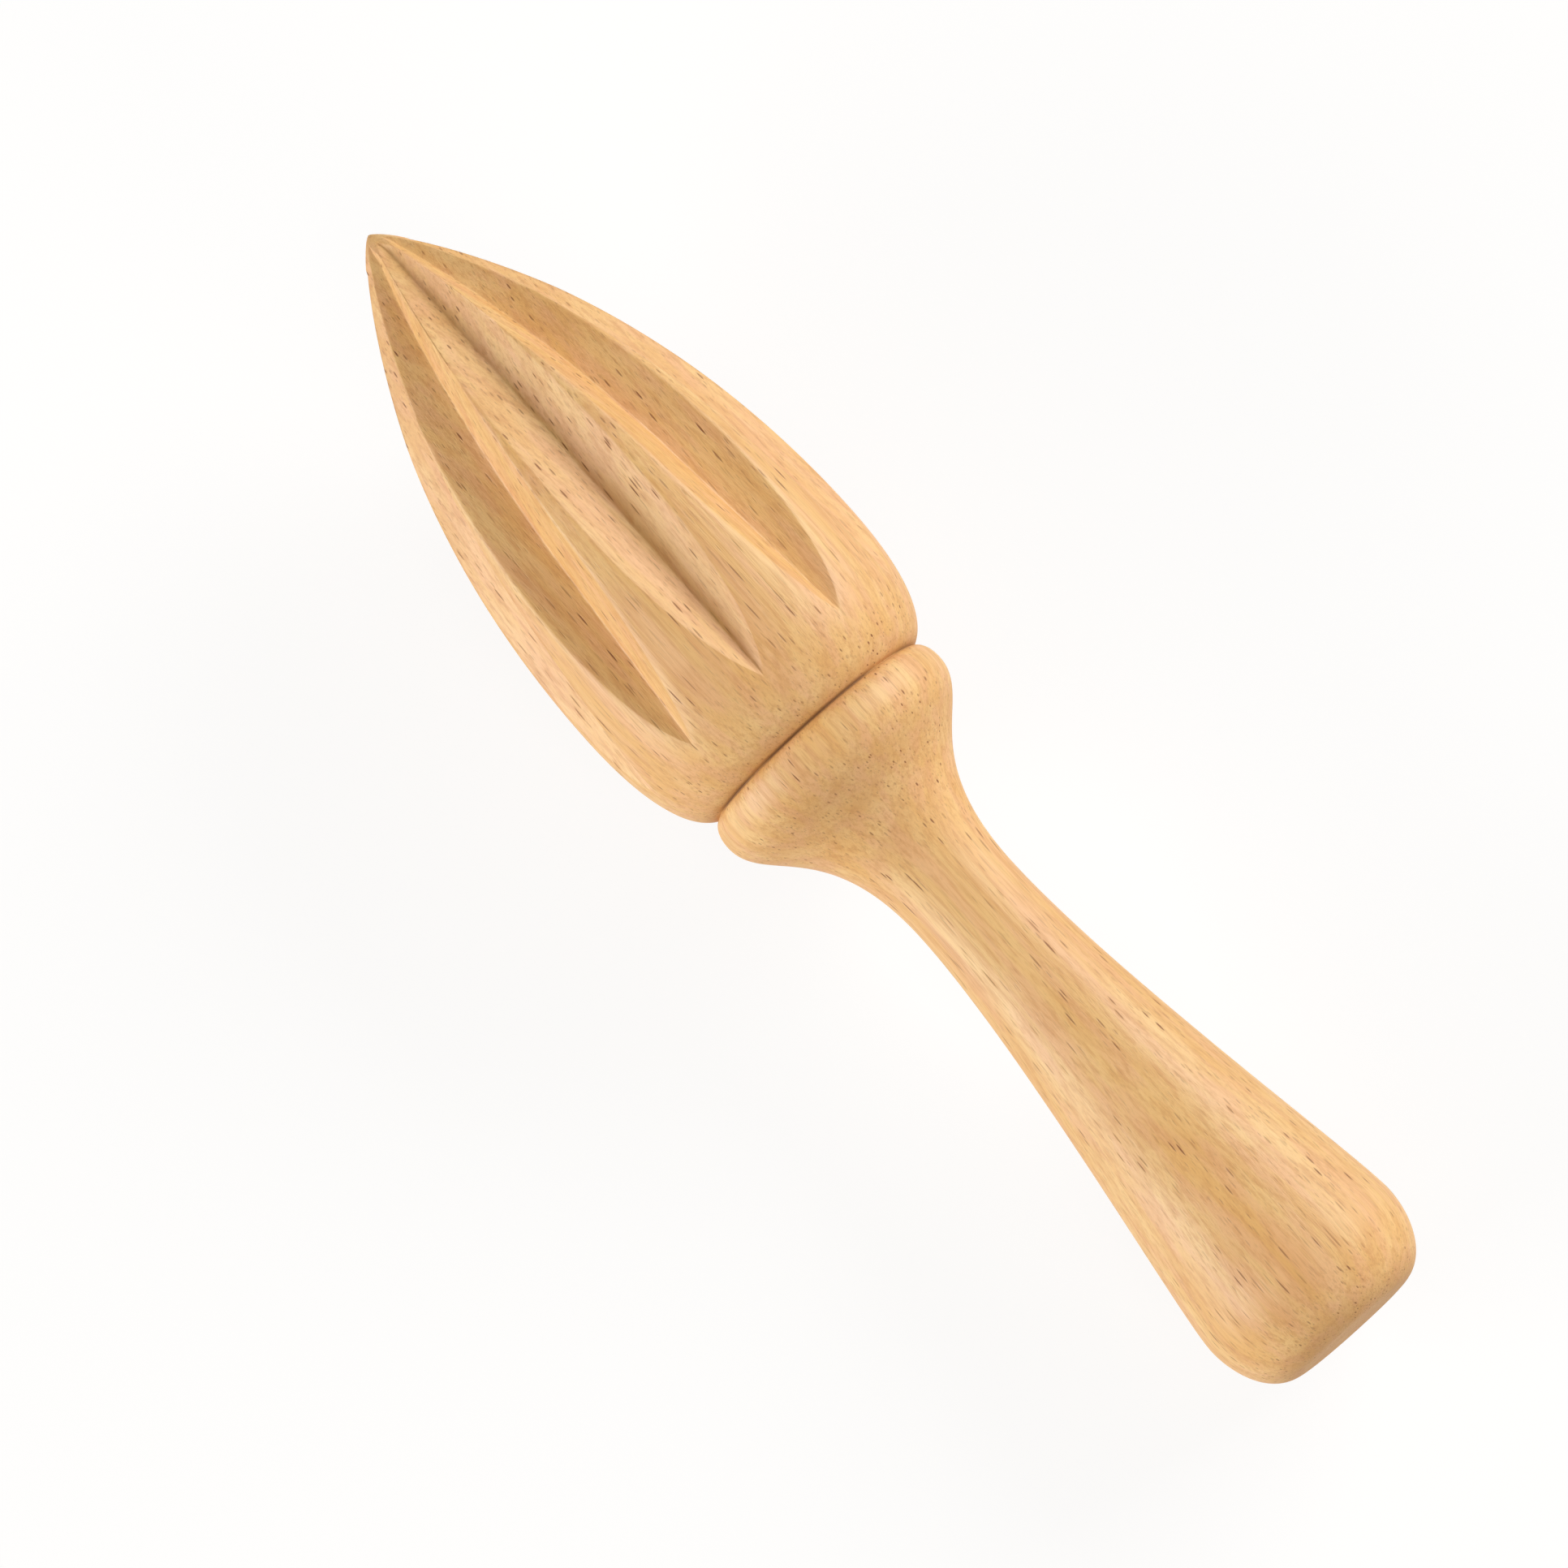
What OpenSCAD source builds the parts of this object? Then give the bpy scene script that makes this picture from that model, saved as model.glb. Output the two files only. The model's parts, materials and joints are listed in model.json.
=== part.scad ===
// Wooden citrus reamer: one piece of turned hardwood with straight milled flutes round its head.
// It lies on its side as it does on a table, on the widest ring of the head and of the butt.
// Tip towards -X, butt towards +X, table at Z = 0. Stations below are measured from the tip.

/* [Head] */
// Whole length from the tip to the end face
length = 160; // [140:1:185]
// Length of the fluted head, from the tip to the groove behind it
head_length = 73.2; // [60:0.1:85]
// Diameter of the head at its widest ring
head_d = 38.2; // [34:0.1:44]
// Distance from the widest ring back to the groove
shoulder_length = 16; // [12:0.1:20]
// Bluntness of the tip
tip_bluntness = 1.6; // [0.8:0.1:3]
// Fullness of the nose before the widest ring
nose_fullness = 36.5; // [25:0.5:42]
// Fullness of the shoulder behind the widest ring, as a share of its length
shoulder_fullness = 0.94; // [0.6:0.01:1]

/* [Groove and collar] */
// Diameter at the bottom of the turned groove
groove_d = 28.2; // [24:0.1:30]
// Lean of the groove's front wall
groove_lean = 0.3; // [0.1:0.1:1]
// Roundness of the groove's lip
groove_lip = 1.5; // [0.8:0.1:2]
// Diameter of the collar at its crest
collar_d = 31; // [30.2:0.1:33]
// Distance from the groove back to the collar's crest
collar_width = 2.8; // [2:0.1:4]
// Length of the collar's slope down to the neck
collar_slope = 21.4; // [16:0.1:26]
// Fullness of the collar before it falls away
collar_fullness = 5.75; // [3:0.05:7.5]
// Fullness of the hollow before the neck
hollow_fullness = 15.7; // [9:0.1:16]

/* [Handle and butt] */
// Diameter of the neck, the thinnest place
neck_d = 13; // [10:0.1:16]
// Length of the even stretch that the neck keeps before it swells
neck_fullness = 16.7; // [8:0.1:24]
// Diameter of the butt at its crest
butt_d = 26.1; // [20:0.1:32]
// Fullness of the handle before the butt's crest
swell_fullness = 4.9; // [2:0.1:10]
// Length of the rounded end behind the butt's crest
butt_length = 8.5; // [6:0.1:12]
// Fullness of the butt along its length
butt_fullness = 3.5; // [2:0.1:5]
// Rounding of the butt into its end face
end_rounding = 4.3; // [2:0.1:5]
// Diameter of the flat end face
face_d = 14; // [8:0.1:18]

/* [Flutes] */
// Number of flutes round the head
flute_count = 10; // [8:1:12]
// Full angle of a flute's V section
flute_angle = 115; // [100:1:130]
// Radius of a flute's bottom line at the tip, as a share of the nose's radius
flute_tip_share = 0.71; // [0.68:0.01:0.82]
// The same share where the flute starts to run out
flute_share = 0.8; // [0.74:0.01:0.88]
// Distance from the tip to where the flutes begin
flute_start = 0.8; // [0.6:0.1:3]
// Length over which a flute reaches its full depth behind the tip
flute_entry = 2.4; // [2:0.1:6]
// Distance from the tip to where a flute starts to run out
flute_bend = 39; // [30:0.5:44]
// Distance from the tip to a flute's pointed end
flute_end = 67; // [56:0.1:68.5]
// Turn of the flutes away from straight up
flute_turn = 1.8; // [0:0.1:18]
// Skew of each flute against the axis, as the cutter was set
flute_skew = 0.9; // [0:0.1:2]
// Distance from the tip to where a skewed flute stands square over the axis
flute_cross = 24; // [20:1:40]

/* [Hidden] */

$fn = 96;
nose_steps = 15;
curve_steps = 9;
floor_steps = 8;
settle_rounds = 3;
wood = "#dfb07a";

head_r = head_d / 2;
groove_r = groove_d / 2;
collar_r = collar_d / 2;
neck_r = neck_d / 2;
butt_r = butt_d / 2;
face_r = face_d / 2;
widest_at = head_length - shoulder_length;
collar_at = head_length + collar_width;
neck_at = collar_at + collar_slope;
butt_at = length - butt_length;

// A point of the smooth curve from a to d that leaves towards b and arrives from c.
function bend(a, b, c, d, t) =
    pow(1 - t, 3) * a + 3 * pow(1 - t, 2) * t * b + 3 * (1 - t) * pow(t, 2) * c + pow(t, 3) * d;

// The points of that curve after its first one.
function curve(a, b, c, d, steps) = [for (i = [1:steps]) bend(a, b, c, d, i / steps)];

// The turned outline, each point [radius, station].
tip = [0, 0];
widest = [head_r, widest_at];
groove = [groove_r, head_length];
collar = [collar_r, collar_at];
neck = [neck_r, neck_at];
butt = [butt_r, butt_at];
end_edge = [face_r, length];

nose_curve = curve(tip, tip + [tip_bluntness, 0], widest - [0, nose_fullness], widest, nose_steps);
shoulder_curve = curve(
    widest,
    widest + [0, shoulder_fullness * shoulder_length],
    groove + [groove_lip, -groove_lean],
    groove,
    curve_steps
);
collar_curve = curve(
    groove,
    groove + [(collar_r - groove_r) * 2 / 3, groove_lean],
    collar - [0, collar_width / 2],
    collar,
    curve_steps
);
slope_curve = curve(
    collar, collar + [0, collar_fullness], neck - [0, hollow_fullness], neck, nose_steps
);
handle_curve = curve(
    neck, neck + [0, neck_fullness], butt - [0, swell_fullness], butt, nose_steps
);
butt_curve = curve(
    butt, butt + [0, butt_fullness], end_edge + [end_rounding, 0], end_edge, curve_steps
);

head_outline = concat([tip], nose_curve, shoulder_curve);
handle_outline = concat(collar_curve, slope_curve, handle_curve, butt_curve);
outline = concat(head_outline, handle_outline, [[0, length]]);

// Radius of the head's outline at a station.
function head_radius(at) = lookup(at, [for (p = head_outline) [p[1], p[0]]]);

// The bottom line of a flute, each point [radius, station]: it sinks in at the tip, follows the
// nose at a share of its radius, and then runs out in a straight line to the pointed end.
full_depth_at = flute_start + flute_entry;
floor_pitch = (flute_bend - full_depth_at) / floor_steps;
share_rise = (flute_share - flute_tip_share) / flute_bend;
function floor_radius(at) = (flute_tip_share + share_rise * at) * head_radius(at);
bend_r = floor_radius(flute_bend);
run_rise = (head_radius(flute_end) - bend_r) / (flute_end - flute_bend);
overrun = 3;
flute_floor = concat(
    [[head_radius(flute_start), flute_start]],
    [
        for (i = [0:floor_steps])
            let (at = full_depth_at + i * floor_pitch)
            [floor_radius(at), at]
    ],
    [[bend_r + run_rise * (flute_end + overrun - flute_bend), flute_end + overrun]]
);
cutter_r = 2 * head_r;

// The lean at which the reamer settles on its two widest rings: the outline point of each that
// reaches lowest, and the line through them.
function reach(p, lean) = p[0] * cos(lean) + p[1] * sin(lean);
function lowest(points, lean) =
    let (depths = [for (p = points) reach(p, lean)])
    points[search(max(depths), depths)[0]];
function settle(lean, rounds) =
    let (
        at_head = lowest(head_outline, lean),
        at_butt = lowest(handle_outline, lean),
        next = atan2(at_head[0] - at_butt[0], at_butt[1] - at_head[1])
    )
    rounds > 1 ? settle(next, rounds - 1) : next;
rest_lean = settle(0, settle_rounds);
rest_height = reach(lowest(outline, rest_lean), rest_lean);
reach_back = min([for (p = outline) p[1] * cos(rest_lean) - p[0] * sin(rest_lean)]);
reach_front = max([for (p = outline) p[1] * cos(rest_lean) + p[0] * sin(rest_lean)]);

// One wall of a flute's cutter: everything outside a plane that follows the flute's bottom line.
module flute_wall(side) {
    wall_turn = 90 - flute_angle / 2;
    floor_line = [for (p = flute_floor) [p[0] * cos(wall_turn), p[1]]];
    first = flute_floor[0];
    last = flute_floor[len(flute_floor) - 1];
    rotate([0, 0, side * wall_turn])
        rotate([90, 0, 0])
            linear_extrude(height = 4 * cutter_r, center = true)
                polygon(concat(floor_line, [[cutter_r, last[1]], [cutter_r, first[1]]]));
}

// A straight V cutter that faces +X, with the turned body's axis along Z, and its skew.
module flute_cutter() {
    translate([0, 0, flute_cross])
        rotate([-flute_skew, 0, 0])
            translate([0, 0, -flute_cross])
                intersection() {
                    flute_wall(1);
                    flute_wall(-1);
                }
}

// The turned body with its flutes, standing on its tip.
module turned_body() {
    difference() {
        rotate_extrude() polygon(outline);
        for (i = [0:flute_count - 1])
            rotate([0, 0, 180 - flute_turn + i * 360 / flute_count]) flute_cutter();
    }
}

module reamer() {
    color(wood)
        translate([-(reach_back + reach_front) / 2, 0, rest_height])
            rotate([0, 90 + rest_lean, 0]) turned_body();
}

reamer();
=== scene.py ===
import json
import math

import bpy
from mathutils import Matrix, Vector


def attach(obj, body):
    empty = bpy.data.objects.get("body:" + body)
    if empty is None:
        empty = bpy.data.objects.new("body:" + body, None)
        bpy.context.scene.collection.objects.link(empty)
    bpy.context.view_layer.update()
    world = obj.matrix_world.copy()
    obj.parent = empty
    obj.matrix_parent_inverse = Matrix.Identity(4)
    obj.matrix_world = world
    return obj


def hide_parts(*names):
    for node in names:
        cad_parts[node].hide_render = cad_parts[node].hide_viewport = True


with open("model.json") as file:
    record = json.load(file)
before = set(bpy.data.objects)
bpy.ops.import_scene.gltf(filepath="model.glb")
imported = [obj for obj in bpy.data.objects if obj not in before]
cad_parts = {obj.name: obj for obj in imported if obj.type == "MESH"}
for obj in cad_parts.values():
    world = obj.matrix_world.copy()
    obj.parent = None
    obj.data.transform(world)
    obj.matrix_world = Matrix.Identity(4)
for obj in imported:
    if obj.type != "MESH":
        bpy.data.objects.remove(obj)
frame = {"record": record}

scene = bpy.context.scene
scene.view_settings.view_transform = "Standard"
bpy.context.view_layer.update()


# Table. A plain pale table top and a white room round it, both outside the object.
# The table shows white to the camera and in reflections, and keeps a faint shadow of the reamer.
class Value:
    """A socket in a node tree. Arithmetic on it adds Math nodes."""

    def __init__(self, tree, socket):
        self.tree, self.socket = tree, socket

    def math(self, operation, *others):
        return node(self.tree, "ShaderNodeMath", {"operation": operation}, [self, *others])

    def __add__(self, other):
        return self.math("ADD", other)

    def __sub__(self, other):
        return self.math("SUBTRACT", other)

    def __mul__(self, other):
        return self.math("MULTIPLY", other)

    def __truediv__(self, other):
        return self.math("DIVIDE", other)

    def __rsub__(self, other):
        return node(self.tree, "ShaderNodeMath", {"operation": "SUBTRACT"}, [other, self])

    def __rtruediv__(self, other):
        return node(self.tree, "ShaderNodeMath", {"operation": "DIVIDE"}, [other, self])

    __radd__ = __add__
    __rmul__ = __mul__


def node(tree, kind, settings, sockets, out=0):
    """Adds a node, sets it up, fills its sockets with values or links, and gives one output."""
    made = tree.nodes.new(kind)
    for name, setting in settings.items():
        setattr(made, name, setting)
    pairs = sockets.items() if isinstance(sockets, dict) else enumerate(sockets)
    for key, value in pairs:
        if isinstance(value, Value):
            tree.links.new(value.socket, made.inputs[key])
        else:
            made.inputs[key].default_value = value
    return Value(tree, made.outputs[out]) if len(made.outputs) else None


def other_output(value, name):
    """Another output of the node that a value comes from."""
    return Value(value.tree, value.socket.node.outputs[name])


def seen_directly(tree):
    """1 for camera, glossy and transmission rays, 0 for the rays that light things."""
    camera_ray = node(tree, "ShaderNodeLightPath", {}, {}, "Is Camera Ray")
    glossy = other_output(camera_ray, "Is Glossy Ray")
    through = other_output(camera_ray, "Is Transmission Ray")
    return camera_ray.math("MAXIMUM", glossy).math("MAXIMUM", through)


table_size = 3.0
table_glow = 0.86
table_seen = (0.16, 0.155, 0.15, 1)
table_bounce = (0.62, 0.61, 0.59, 1)
room_white = (1, 1, 1, 1)
room_ambient = (0.62, 0.57, 0.50, 1)
ambient_strength = 0.30

bpy.ops.mesh.primitive_plane_add(size=table_size)
table = bpy.context.object
table.name = "table"
table_material = bpy.data.materials.new("pale_table")
table_material.use_nodes = True
tree = table_material.node_tree
tree.nodes.clear()
shown = seen_directly(tree)
glow = node(tree, "ShaderNodeEmission", {}, {"Color": room_white, "Strength": table_glow})
dull = node(tree, "ShaderNodeBsdfDiffuse", {}, {"Color": table_seen})
bounce = node(tree, "ShaderNodeBsdfDiffuse", {}, {"Color": table_bounce})
white = node(tree, "ShaderNodeAddShader", {}, [glow, dull])
mixed = node(tree, "ShaderNodeMixShader", {}, [shown, bounce, white])
node(tree, "ShaderNodeOutputMaterial", {}, {"Surface": mixed})
table.data.materials.append(table_material)

scene.world = bpy.data.worlds.new("white_room")
scene.world.use_nodes = True
tree = scene.world.node_tree
tree.nodes.clear()
shown = seen_directly(tree)
white = node(tree, "ShaderNodeBackground", {}, {"Color": room_white, "Strength": 1.0})
dim = node(
    tree, "ShaderNodeBackground", {}, {"Color": room_ambient, "Strength": ambient_strength}
)
mixed = node(tree, "ShaderNodeMixShader", {}, [shown, dim, white])
node(tree, "ShaderNodeOutputWorld", {}, {"Surface": mixed})


# Turned axis. The reamer lies on the table on its two widest rings, so its axis leans down
# towards the butt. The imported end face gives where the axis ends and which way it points.
reamer_length = 0.160
end_face = frame["record"]["mounts"][0]
axis = Vector(end_face["axis"]).normalized()
tip = Vector(end_face["pos_m"]) - reamer_length * axis
lean = math.atan2(-axis.z, axis.x)
upward = Vector((math.sin(lean), 0, math.cos(lean)))
body_turn = (0, math.pi / 2 + lean, 0)


# Camera. It looks almost straight down through a long lens, with the butt a little nearer,
# and is turned so that the reamer runs from the upper left to the lower right.
camera_distance = 1.85
camera_lens = 392.6
camera_lean = math.radians(6)
camera_roll = math.radians(48.02)
aim_station = 0.07493
aim_aside = -0.0063

back = (math.cos(camera_lean) * upward + math.sin(camera_lean) * axis).normalized()
aside = Vector((0, 1, 0))
along = aside.cross(back)
right = math.cos(camera_roll) * along + math.sin(camera_roll) * aside
up = math.cos(camera_roll) * aside - math.sin(camera_roll) * along
eye = tip + aim_station * axis + aim_aside * aside + camera_distance * back
camera = bpy.data.objects.new("camera", bpy.data.cameras.new("camera"))
camera.data.lens = camera_lens
camera.data.sensor_width = 36
camera.data.clip_end = 20
camera.matrix_world = Matrix.Translation(eye) @ Matrix((right, up, back)).transposed().to_4x4()
scene.collection.objects.link(camera)
scene.camera = camera


# Lamps. A soft box stands on either side of the reamer, the far one a little higher, so the
# flanks are bright and what faces straight up is a tone deeper. A weak box overhead and one
# beyond the butt fill the shadows and light the end face.
def soft_box(name, place, width, height, power, colour):
    """A large lamp that faces the middle of the reamer."""
    lamp = bpy.data.lights.new(name, "AREA")
    lamp.shape = "RECTANGLE"
    lamp.size = width
    lamp.size_y = height
    lamp.energy = power
    lamp.color = colour
    box = bpy.data.objects.new(name, lamp)
    box.location = place
    box.rotation_euler = Vector(place).to_track_quat("Z", "Y").to_euler()
    scene.collection.objects.link(box)


soft_box("far_side_box", (-0.10, 1.08, 0.50), 0.9, 0.6, 13.0, (0.98, 1.0, 1.0))
soft_box("near_side_box", (-0.30, -1.14, 0.35), 0.9, 0.5, 13.2, (0.98, 1.0, 1.0))
soft_box("overhead_box", (0.55, 0.0, 1.45), 0.6, 0.6, 2.4, (1.0, 0.90, 0.78))
soft_box("butt_end_box", (1.30, 0.10, 0.55), 0.5, 0.5, 4.0, (1.0, 0.95, 0.88))


# Blank. It is turned on a lathe from one piece of beech: a pointed head, a narrow groove, a
# collar that falls away to a slim neck, and a handle that swells to a rounded butt.
# Points are (radius, station from the tip), in metres.
head_r = 0.0191
groove_r = 0.0141
collar_r = 0.0155
neck_r = 0.0065
butt_r = 0.01305
face_r = 0.007
widest_at = 0.0572
groove_at = 0.0732
collar_at = 0.0760
neck_at = 0.0974
butt_at = 0.1515
sanded_off = 0.00004
end_at = reamer_length - sanded_off

bends = [
    # start, first handle, second handle, end, steps
    ((0, 0), (0.0016, 0), (head_r, 0.0207), (head_r, widest_at), 90),
    ((head_r, widest_at), (head_r, 0.07224), (0.0144, 0.0729), (groove_r, groove_at), 56),
    ((groove_r, groove_at), (0.01503, 0.0735), (collar_r, 0.0746), (collar_r, collar_at), 16),
    ((collar_r, collar_at), (collar_r, 0.08175), (neck_r, 0.0817), (neck_r, neck_at), 56),
    ((neck_r, neck_at), (neck_r, 0.1141), (butt_r, 0.1466), (butt_r, butt_at), 60),
    ((butt_r, butt_at), (butt_r, 0.1550), (0.0113, end_at), (face_r, end_at), 30),
    ((face_r, end_at), (0.005, end_at), (0.002, end_at), (0, end_at), 6),
]


def bend_point(start, first, second, end, t):
    """A point of the smooth curve from start to end that is drawn by its two handles."""
    weights = ((1 - t) ** 3, 3 * (1 - t) ** 2 * t, 3 * (1 - t) * t * t, t**3)
    knots = (start, first, second, end)
    return [sum(w * knot[k] for w, knot in zip(weights, knots)) for k in (0, 1)]


outline = [[0.0, 0.0]]
for start, first, second, end, steps in bends:
    outline += [bend_point(start, first, second, end, (i + 1) / steps) for i in range(steps)]


def outline_radius(at):
    """The outline's radius at a station on the head."""
    for (r0, s0), (r1, s1) in zip(outline, outline[1:]):
        if s0 <= at <= s1:
            return r0 + (r1 - r0) * (at - s0) / (s1 - s0)


blank_mesh = bpy.data.meshes.new("blank")
blank_mesh.from_pydata(
    [(max(r - sanded_off, 0), 0, s) for r, s in outline],
    [(i, i + 1) for i in range(len(outline) - 1)],
    [],
)
blank = bpy.data.objects.new("blank", blank_mesh)
scene.collection.objects.link(blank)


# Beech. Pale pinkish-tan hardwood with straight grain along the axis, faint growth rings,
# fine fibres, and the thin dark dashes of its rays. End grain and pores drink more oil and
# turn browner. It is sanded smooth and wiped with oil, so it has a soft satin sheen.
beech_pale = (0.850, 0.545, 0.225, 1)
beech_warm = (0.765, 0.425, 0.137, 1)
beech_rosy = (0.805, 0.430, 0.225, 1)
beech_ring = (0.600, 0.270, 0.080, 1)
beech_ray = (0.230, 0.068, 0.006, 1)
beech_end = (0.560, 0.280, 0.090, 1)
pith_place = (0.058, 0.022, 0)
pith_side = math.atan2(pith_place[1], pith_place[0])
ring_spacing = 2.7
streak_span = (0.28, 0.72)
blush_span = (0.42, 0.66)
fibre_span = (0.44, 0.66)
fine_fibre_span = (0.45, 0.80)
end_grain_span = (0.45, 0.98)
cluster_span = (0.35, 0.65)
# The next span sets where the groove's painted shade fades out
groove_shade_breakup_span = (0.30, 0.55)
blush_strength = 0.50
ring_strength = 0.20
fibre_strength = 0.50
fine_fibre_strength = 0.16
end_strength = 0.45
short_dash_strength = 0.45
speck_strength = 0.12
end_speck_strength = 0.45
bump_strength = 0.5
bump_height = 0.00008
satin_roughness = 0.46
satin_reflection = 0.75
# The groove's thin dark line is painted shade: its station, half width and colour
groove_line = 1000 * groove_at
groove_line_reach = 0.30
groove_shade_colour = (0.300, 0.140, 0.050, 1)

beech = bpy.data.materials.new("oiled_beech")
beech.use_nodes = True
tree = beech.node_tree
tree.nodes.clear()

place = node(tree, "ShaderNodeTexCoord", {}, {}, "Object")
facing = other_output(place, "Normal")
in_body = node(
    tree,
    "ShaderNodeMapping",
    {"vector_type": "TEXTURE"},
    {"Vector": place, "Location": tip, "Rotation": body_turn, "Scale": (0.001, 0.001, 0.001)},
)


def stretched(across, lengthwise, shift=0.0):
    """The place in the wood in millimetres, scaled across and along the grain."""
    return node(
        tree,
        "ShaderNodeMapping",
        {},
        {
            "Vector": in_body,
            "Location": (shift, shift, shift),
            "Scale": (across, across, lengthwise),
        },
    )


def grain_noise(across, lengthwise, detail, roughness, shift=0.0):
    """Noise drawn out along the grain, from 0 to 1."""
    return node(
        tree,
        "ShaderNodeTexNoise",
        {},
        {
            "Vector": stretched(across, lengthwise, shift),
            "Scale": 1.0,
            "Detail": detail,
            "Roughness": roughness,
        },
    )


def between(value, low, high):
    """0 below low, 1 above high and a smooth rise between them."""
    return node(
        value.tree,
        "ShaderNodeMapRange",
        {"interpolation_type": "SMOOTHSTEP"},
        {"Value": value, "From Min": low, "From Max": high},
    )


def blended(amount, first, second):
    """One colour passing into another."""
    made = node(
        tree,
        "ShaderNodeMix",
        {"data_type": "RGBA"},
        {"Factor": amount, 6: first, 7: second},
    )
    return Value(tree, made.socket.node.outputs[2])


def dashes(across, inward, lengthwise, size, shift):
    """Rays as thin lenses, deep towards the pith, some strong and some faint: 0 outside them."""
    turned_to_pith = node(
        tree, "ShaderNodeMapping", {}, {"Vector": in_body, "Rotation": (0, 0, -pith_side)}
    )
    cells = node(
        tree,
        "ShaderNodeMapping",
        {},
        {
            "Vector": turned_to_pith,
            "Location": (shift, shift, shift),
            "Scale": (inward, across, lengthwise),
        },
    )
    cell = node(tree, "ShaderNodeTexVoronoi", {}, {"Vector": cells, "Scale": 1.0}, "Distance")
    chance = node(tree, "ShaderNodeSeparateXYZ", {}, [other_output(cell, "Color")], "X")
    return (1 - between(cell, 0.50 * size, size)) * (0.30 + 0.70 * between(chance, 0.50, 0.95))


# Growth rings round a pith well outside the blank, wavering a little along it
waver = grain_noise(0.06, 0.012, 2.0, 0.5)
fine_waver = grain_noise(0.5, 0.03, 2.0, 0.5, 3.0)
from_pith = node(
    tree,
    "ShaderNodeVectorMath",
    {"operation": "SUBTRACT"},
    [in_body, tuple(1000 * x for x in pith_place)],
)
flat_pith = node(tree, "ShaderNodeVectorMath", {"operation": "MULTIPLY"}, [from_pith, (1, 1, 0)])
pith_distance = node(tree, "ShaderNodeVectorMath", {"operation": "LENGTH"}, [flat_pith], "Value")
ring_phase = (pith_distance + 5.0 * waver + 0.8 * fine_waver) / ring_spacing
ring_part = ring_phase.math("FRACT")
late_wood = between(ring_part, 0.45, 0.97) * (1 - between(ring_part, 0.97, 1.0))

# Fibres, streaks, rays and pores
streaks = grain_noise(0.35, 0.012, 3.0, 0.55, 11.0)
fibres = grain_noise(2.2, 0.10, 3.0, 0.70, 17.0)
fine_fibres = grain_noise(9.0, 0.40, 2.0, 0.6, 29.0)
blush = grain_noise(0.6, 0.05, 2.0, 0.5, 23.0)
clusters = grain_noise(0.25, 0.06, 2.0, 0.5, 41.0)
# This noise breaks up the groove's painted shade
groove_shade_breakup = grain_noise(0.09, 0.09, 1.0, 0.5, 53.0)
long_dashes = dashes(2.4, 1.5, 0.13, 0.28, 5.0)
short_dashes = dashes(3.8, 2.4, 0.30, 0.28, 13.0)
specks = dashes(5.5, 4.0, 0.9, 0.27, 31.0)

# End grain shows where the surface turns across the axis
axis_facing = node(
    tree, "ShaderNodeVectorMath", {"operation": "DOT_PRODUCT"}, [facing, axis], "Value"
)
end_grain = between(axis_facing.math("ABSOLUTE"), *end_grain_span)

colour = blended(between(streaks, *streak_span), beech_pale, beech_warm)
colour = blended(blush_strength * between(blush, *blush_span), colour, beech_rosy)
colour = blended(ring_strength * late_wood, colour, beech_ring)
colour = blended(fibre_strength * between(fibres, *fibre_span), colour, beech_ring)
thin_lines = fine_fibre_strength * between(fine_fibres, *fine_fibre_span)
colour = blended(thin_lines, colour, beech_ray)
colour = blended(end_strength * end_grain, colour, beech_end)
ray_strength = 0.45 + 0.55 * between(clusters, *cluster_span)
colour = blended(long_dashes * ray_strength, colour, beech_ray)
colour = blended(short_dash_strength * short_dashes * ray_strength, colour, beech_ray)
colour = blended(specks * (speck_strength + end_speck_strength * end_grain), colour, beech_ray)

# The turned groove's crease gets a thin dark line of painted shade, which fades here and there
body_station = node(tree, "ShaderNodeSeparateXYZ", {}, [in_body], "Z")
from_groove = (body_station - groove_line).math("ABSOLUTE")
groove_painted_shade = (1 - between(from_groove, 0.0, groove_line_reach)) * between(groove_shade_breakup, *groove_shade_breakup_span)
colour = blended(groove_painted_shade, colour, groove_shade_colour)

relief = 0.9 * fibres + 0.5 * fine_fibres - 0.6 * long_dashes - 0.4 * short_dashes
bumped = node(
    tree,
    "ShaderNodeBump",
    {},
    {"Strength": bump_strength, "Distance": bump_height, "Height": relief},
)
roughness = satin_roughness + 0.14 * fibres + 0.12 * end_grain + 0.10 * long_dashes
surface = node(
    tree,
    "ShaderNodeBsdfPrincipled",
    {},
    {
        "Base Color": colour,
        "Roughness": roughness,
        "Normal": bumped,
        "Specular IOR Level": satin_reflection,
    },
)
node(tree, "ShaderNodeOutputMaterial", {}, {"Surface": surface})


# Reamer. V flutes are milled along the turned head: they sink in at the tip, follow the
# nose, and run out to a point behind the widest ring. The lands left between them are
# narrow, and every edge is sanded by hand, so none is sharp.
flute_inputs = {
    "Flutes": 10,
    "Columns per flute": 20,
    "V half angle": math.radians(57.5),
    "Tip share": 0.71,
    "Bend share": 0.80,
    "Start": 0.0008,
    "Entry": 0.0024,
    "Bend": 0.0390,
    "Bend radius": 0.80 * outline_radius(0.0390),
    "End": 0.0670,
    "End radius": outline_radius(0.0670),
    "Turn": math.radians(1.8),
    "Skew": math.radians(0.9),
    "Crossing": 0.024,
    "Edge softness": 0.00005,
    "Floor softness": 0.00006,
    "Depth error": 0.00006,
    "Unevenness": 0.00005,
}
edge_column = 0.7
column_squeeze = 0.8
fan_length = 0.0065
least_fan = math.radians(0.7)
error_seed = 7

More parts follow.
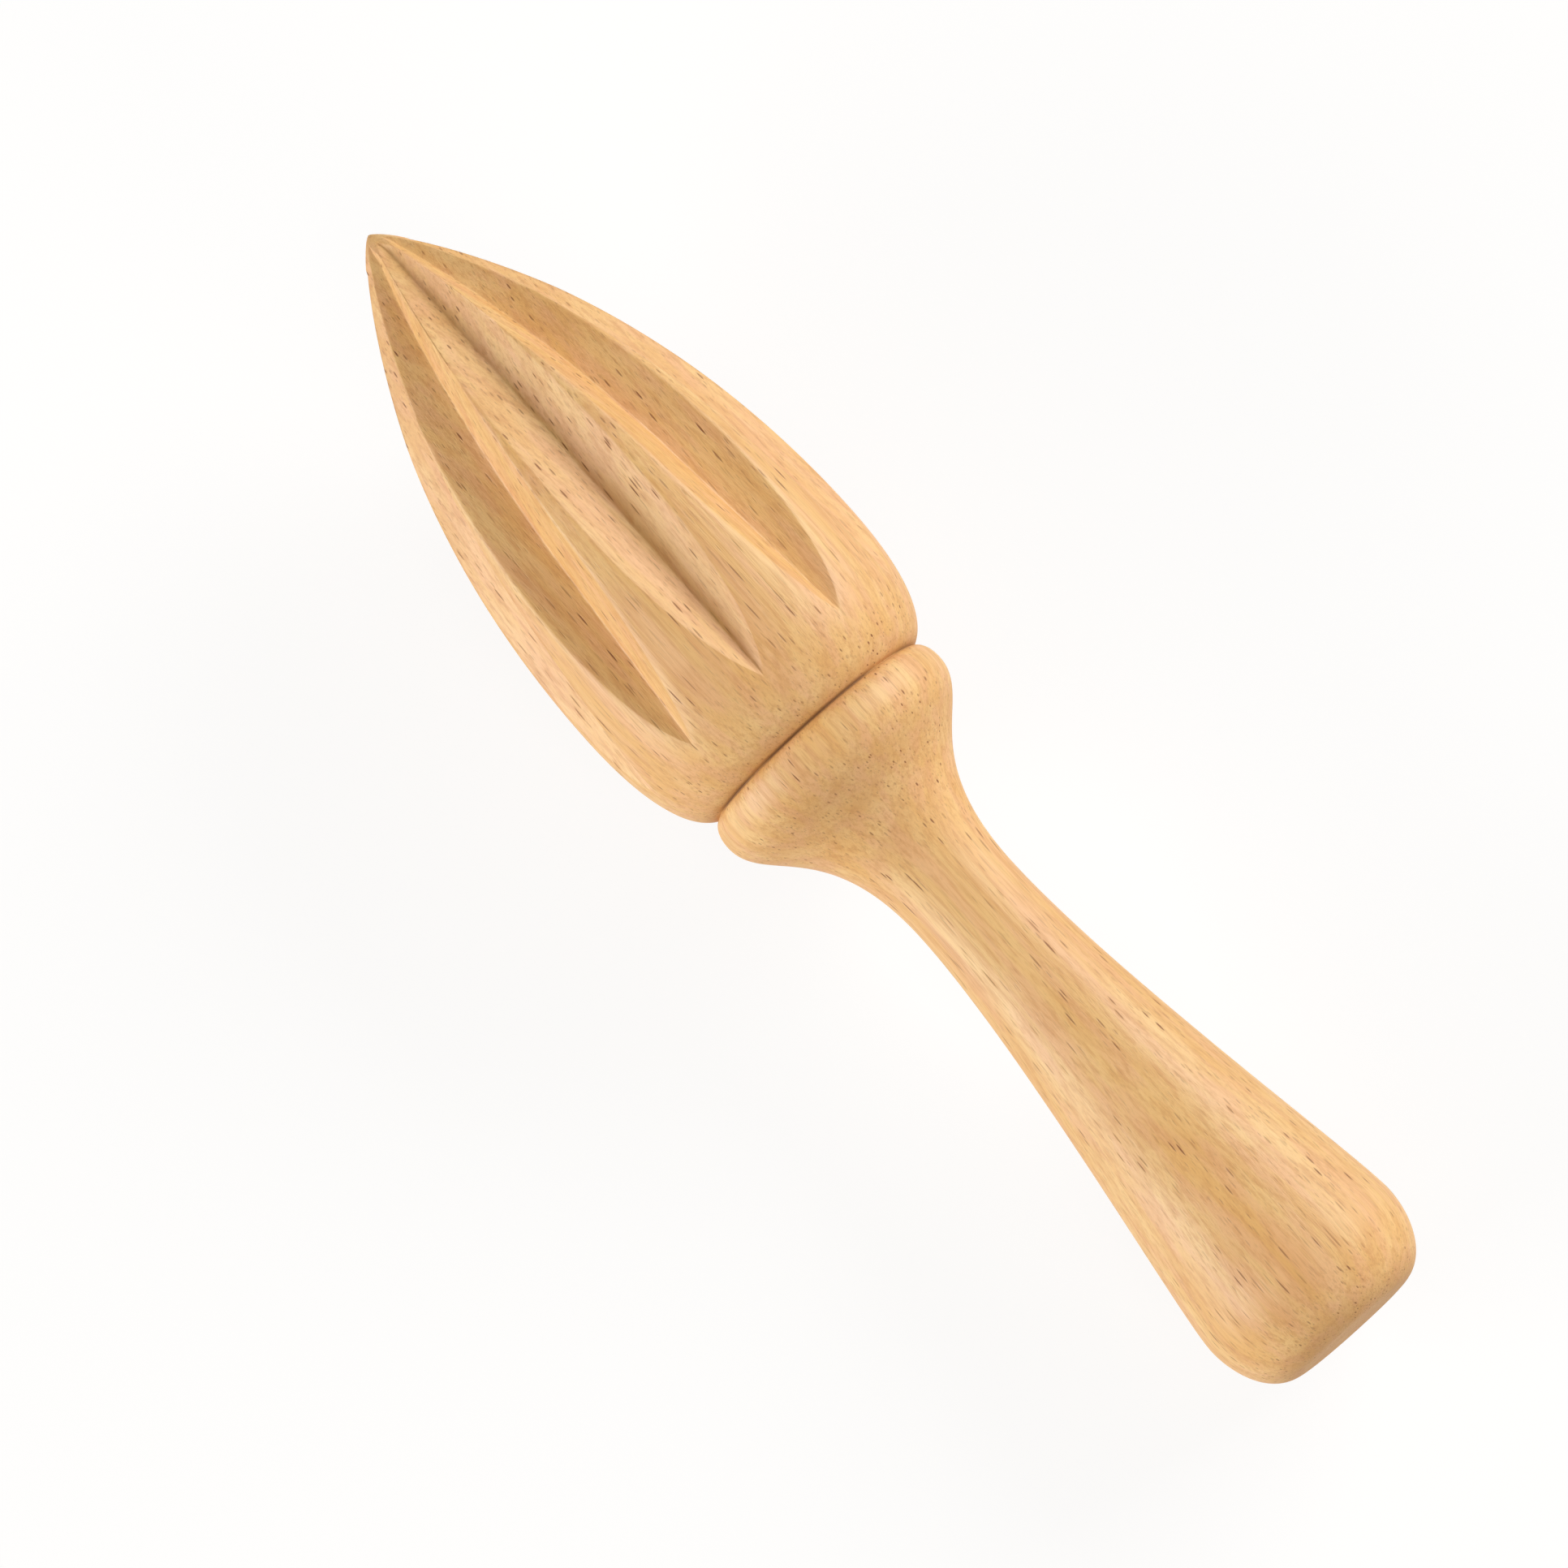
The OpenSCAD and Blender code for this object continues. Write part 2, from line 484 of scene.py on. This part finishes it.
cutting = bpy.data.node_groups.new("turn_and_flute", "GeometryNodeTree")
cutting.interface.new_socket("Geometry", in_out="INPUT", socket_type="NodeSocketGeometry")
cutting_sockets = {}
for name, value in flute_inputs.items():
    kind = "NodeSocketInt" if isinstance(value, int) else "NodeSocketFloat"
    cutting_sockets[name] = cutting.interface.new_socket(
        name, in_out="INPUT", socket_type=kind
    )
cutting.interface.new_socket("Geometry", in_out="OUTPUT", socket_type="NodeSocketGeometry")
turned = node(cutting, "NodeGroupInput", {}, {}, "Geometry")
given = {name: other_output(turned, name) for name in flute_inputs}

# One row of the skin for each outline point, one column for each place round the blank
rows = node(cutting, "GeometryNodeAttributeDomainSize", {"component": "MESH"}, [turned])
columns = given["Flutes"] * given["Columns per flute"] + 1
skin = node(
    cutting, "GeometryNodeMeshGrid", {}, {"Vertices X": rows, "Vertices Y": columns}
)
index = node(cutting, "GeometryNodeInputIndex", {}, {})
row = ((index + 0.5) / columns).math("FLOOR")
column = index - row * columns
outline_place = node(
    cutting,
    "GeometryNodeSampleIndex",
    {"data_type": "FLOAT_VECTOR"},
    {
        "Geometry": turned,
        "Value": node(cutting, "GeometryNodeInputPosition", {}, {}),
        "Index": row,
    },
)
radius = node(cutting, "ShaderNodeSeparateXYZ", {}, [outline_place], "X")
station = other_output(radius, "Z")

# The flute that a column belongs to, and where the column stands across it, from -1 to 1
sector = column / given["Columns per flute"]
number = (sector + 0.5).math("FLOOR")
across = 2 * (sector - number)
half_sector = math.pi / given["Flutes"]
flute_id = number.math("FLOORED_MODULO", given["Flutes"])
error = node(
    cutting,
    "FunctionNodeRandomValue",
    {"data_type": "FLOAT"},
    {2: -1.0, 3: 1.0, 7: flute_id, 8: error_seed},
    1,
)

# The bottom line: a share of the nose's radius up to the bend, then straight to its end
sunk = ((station - given["Start"]) / given["Entry"]).math("MAXIMUM", 0.0).math("MINIMUM", 1.0)
share_rise = (given["Bend share"] - given["Tip share"]) / given["Bend"]
floor_share = given["Tip share"] + share_rise * station
nose_floor = radius * (1 - sunk * (1 - floor_share))
run_rise = (given["End radius"] - given["Bend radius"]) / (given["End"] - given["Bend"])
run_floor = given["Bend radius"] + run_rise * (station - given["Bend"])
on_run = station.math("GREATER_THAN", given["Bend"])
floor_radius = nose_floor + on_run * (run_floor - nose_floor)
floor_radius = floor_radius + sunk * given["Depth error"] * error

# The cutter stood a little askew, so the bottom line drifts sideways along the head and the
# ridge between two flutes drifts with it, by about half as much
slope = 1 / given["V half angle"].math("TANGENT")
drift = (station - given["Crossing"]) * given["Skew"].math("TANGENT")
side = across.math("SIGN")
sideways = sunk * drift / floor_radius.math("MAXIMUM", 1e-6)
swing = sideways.math("ARCTANGENT")
ridge_top = half_sector.math("COSINE") - slope * half_sector.math("SINE")
ridge_fall = half_sector.math("SINE") + slope * half_sector.math("COSINE")
ridge_swing = slope * sideways * ridge_top / ridge_fall
half_room = half_sector + side * ridge_swing
side_floor = floor_radius - side * slope * sunk * drift

# The half width of the flute's mouth as an angle, from where its walls meet the skin
steepness = slope * slope + 1
root = (steepness * radius * radius - side_floor * side_floor).math("MAXIMUM", 0.0)
half_width = (root.math("SQRT") - side_floor * slope) / steepness
mouth = (half_width / radius.math("MAXIMUM", 1e-6)).math("MAXIMUM", 0.0).math("ARCSINE")

# Columns gather at the edges and the bottom line, and spread evenly where no flute is
even = edge_column * half_sector
before = 1 - between(station, 0.2 * given["Start"], given["Start"])
behind = between(station - given["End"], -0.0005, fan_length)
fan = even * before.math("MAXIMUM", behind) + least_fan
edge_angle = mouth.math("MAXIMUM", side * swing + fan).math("MINIMUM", half_room)
reach = across.math("ABSOLUTE")
share = (reach / edge_column).math("MINIMUM", 1.0)
gathered = share - (column_squeeze / math.tau) * (math.tau * share).math("SINE")
beyond = (reach - edge_column).math("MAXIMUM", 0.0) / (1 - edge_column)
wall_reach = (edge_angle - side * swing) * gathered
angle = swing + side * (wall_reach + (half_room - edge_angle) * beyond)

# The flute's wall at that angle, and the skin as the nearer of the wall and the turned surface
straight_wall = side_floor / (angle.math("COSINE") - side * slope * angle.math("SINE"))
off_line = (angle - swing) * floor_radius
round_off = (off_line * off_line + given["Floor softness"] * given["Floor softness"]).math("SQRT")
wall = straight_wall + slope * (round_off - off_line.math("ABSOLUTE"))
gap = radius - wall
softness = given["Edge softness"] * sunk
softened = 0.5 * (radius + wall - (gap * gap + softness * softness).math("SQRT"))
cut_radius = softened.math("MINIMUM", radius)

turn = math.pi - given["Turn"] + 2 * half_sector * number + angle
upright = node(
    cutting,
    "ShaderNodeCombineXYZ",
    {},
    [cut_radius * turn.math("COSINE"), cut_radius * turn.math("SINE"), station],
)
lumps = node(
    cutting,
    "ShaderNodeTexNoise",
    {},
    {"Vector": upright, "Scale": 70.0, "Detail": 1.0},
)
hand_radius = cut_radius - given["Unevenness"] * lumps * between(cut_radius, 0.0, 0.003)
worked = node(
    cutting,
    "ShaderNodeCombineXYZ",
    {},
    [hand_radius * turn.math("COSINE"), hand_radius * turn.math("SINE"), station],
)

# The seam and the two poles are closed, and the faces are turned to look outward
shape = node(cutting, "GeometryNodeSetPosition", {}, {"Geometry": skin, "Position": worked})
shape = node(cutting, "GeometryNodeMergeByDistance", {}, {"Geometry": shape, "Distance": 1e-6})
shape = node(cutting, "GeometryNodeFlipFaces", {}, {"Mesh": shape})
shape = node(
    cutting,
    "GeometryNodeTransform",
    {},
    {"Geometry": shape, "Translation": tip, "Rotation": body_turn},
)
shape = node(cutting, "GeometryNodeSetShadeSmooth", {}, {"Geometry": shape})
shape = node(cutting, "GeometryNodeRealizeInstances", {}, {"Geometry": shape})
shape = node(cutting, "GeometryNodeSetMaterial", {}, {"Geometry": shape, "Material": beech})
node(cutting, "NodeGroupOutput", {}, {"Geometry": shape})

cutter = blank.modifiers.new("turn_and_flute", "NODES")
cutter.node_group = cutting
for name, value in flute_inputs.items():
    cutter[cutting_sockets[name].identifier] = value
evaluated = blank.evaluated_get(bpy.context.evaluated_depsgraph_get())
reamer_mesh = bpy.data.meshes.new_from_object(evaluated)
blank.modifiers.remove(cutter)
bpy.data.objects.remove(blank)
reamer = bpy.data.objects.new("turned_reamer", reamer_mesh)
scene.collection.objects.link(reamer)
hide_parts("reamer")
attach(reamer, "root")
